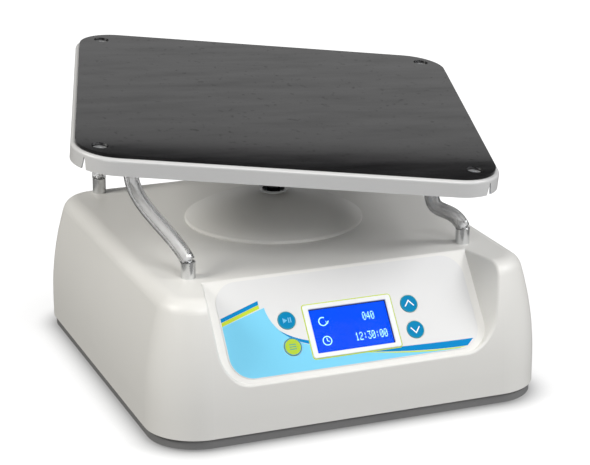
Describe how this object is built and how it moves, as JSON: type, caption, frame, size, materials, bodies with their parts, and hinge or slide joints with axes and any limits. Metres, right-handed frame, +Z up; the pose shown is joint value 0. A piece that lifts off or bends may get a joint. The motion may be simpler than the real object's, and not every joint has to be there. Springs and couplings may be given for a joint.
{
  "type": "three-dimensional shaker",
  "caption": "Bench shaker: square matted platform nutating on an inclined crank pin above a motor base, held from turning by flexible corner tubes, with a sloping key and display panel.",
  "frame": {"origin": "on the drive axis at bench level, under the middle of the platform", "axes": "+Z up along the drive axis, -Y towards the control panel, +X to the user's right"},
  "size_m": [0.4267, 0.4252, 0.2606],
  "materials": {
    "shell_plastic": "satin",
    "plinth_plastic": "fine grain",
    "black_rubber": "matte",
    "mat_rubber": "fine grain",
    "tray_paint": "satin powder coat",
    "zinc_steel": "zinc plated",
    "ground_steel": "ground",
    "black_steel": "black oxide",
    "post_metal": "nickel plated",
    "alloy": "machined",
    "motor_paint": "satin",
    "clear_tube": "clear flexible plastic",
    "overlay_film": "printed film",
    "bezel_plastic": "gloss",
    "window_clear": "polished",
    "lcd_blue": "lit display",
    "key_blue": "satin",
    "key_green": "satin",
    "circuit_green": "solder mask",
    "black_plastic": "satin",
    "brass": "turned"
  },
  "bodies": {
    "base": {"housing": "shell_plastic", "base_plate": "plinth_plastic", "rubber_feet": "black_rubber", "foot_screws": "zinc_steel", "housing_screws": "zinc_steel", "pillar_screws": "zinc_steel", "shaft_dome": "shell_plastic", "dome_collar": "bezel_plastic", "base_spigots": "post_metal", "spigot_nuts": "zinc_steel", "flex_tube_front_left": "clear_tube", "flex_tube_front_right": "clear_tube", "flex_tube_back_left": "clear_tube", "flex_tube_back_right": "clear_tube", "panel_overlay": "overlay_film", "display_bezel": "bezel_plastic", "display_window": "window_clear", "lcd_module": "lcd_blue", "control_board": "circuit_green", "board_standoffs": "brass", "board_screws": "zinc_steel", "motor_plate": "alloy", "bearing_plate": "alloy", "lower_pillars": "zinc_steel", "upper_pillars": "zinc_steel", "plate_screws": "zinc_steel", "motor_can": "motor_paint", "gearbox": "alloy", "motor_screws": "zinc_steel", "bearing_cartridge": "alloy", "cartridge_screws": "zinc_steel", "shaft_bearing_outer_rings": "ground_steel", "power_jack": "black_plastic", "jack_nut": "zinc_steel", "switch_frame": "black_plastic", "driver_board": "circuit_green"},
    "crank": {"output_shaft": "ground_steel", "shaft_coupling": "alloy", "coupling_screws": "zinc_steel", "drive_shaft": "black_steel", "shaft_bearing_inner_rings": "ground_steel", "crank_head": "black_plastic", "crank_pin": "ground_steel", "pin_bearing_inner_rings": "ground_steel", "pin_spacer": "zinc_steel", "pin_circlip": "zinc_steel"},
    "platform": {"tray": "tray_paint", "platform_mat": "mat_rubber", "platform_hub": "alloy", "hub_studs": "zinc_steel", "hub_nuts": "zinc_steel", "pin_bearing_outer_rings": "ground_steel", "platform_spigots": "post_metal", "corner_inserts": "zinc_steel"},
    "up_button": {"button_up": "key_blue"},
    "down_button": {"button_down": "key_blue"},
    "left_top_button": {"button_left_top": "key_blue"},
    "left_bottom_button": {"button_left_bottom": "key_green"},
    "rocker": {"power_rocker": "black_plastic"}
  },
  "joints": [
    {"name": "crank_spin", "type": "hinge", "parent": "base", "child": "crank", "pos_m": [0, 0, 0], "axis": [0, 0, 1], "continuous": true, "deforming": ["flex_tube_front_left", "flex_tube_front_right", "flex_tube_back_left", "flex_tube_back_right"]},
    {"name": "platform_turn", "type": "hinge", "parent": "crank", "child": "platform", "pos_m": [0, 0, 0.22], "axis": [0.0714, -0.0856, 0.9938], "continuous": true},
    {"name": "up_button_press", "type": "slide", "parent": "base", "child": "up_button", "axis": [0, 0.7859, -0.6184], "range_m": [0, 0.001], "stiffness_N_per_m": 500, "springref_m": -0.001},
    {"name": "down_button_press", "type": "slide", "parent": "base", "child": "down_button", "axis": [0, 0.7859, -0.6184], "range_m": [0, 0.001], "stiffness_N_per_m": 500, "springref_m": -0.001},
    {"name": "left_top_button_press", "type": "slide", "parent": "base", "child": "left_top_button", "axis": [0, 0.7859, -0.6184], "range_m": [0, 0.001], "stiffness_N_per_m": 500, "springref_m": -0.001},
    {"name": "left_bottom_button_press", "type": "slide", "parent": "base", "child": "left_bottom_button", "axis": [0, 0.7859, -0.6184], "range_m": [0, 0.001], "stiffness_N_per_m": 500, "springref_m": -0.001},
    {"name": "power_rock", "type": "hinge", "parent": "base", "child": "rocker", "pos_m": [0.058, 0.161, 0.022], "axis": [0, 0, 1], "range_deg": [0, 16]}
  ],
  "couplings": [
    {"joint": "platform_turn", "follows": "crank_spin", "ratio": -1}
  ]
}
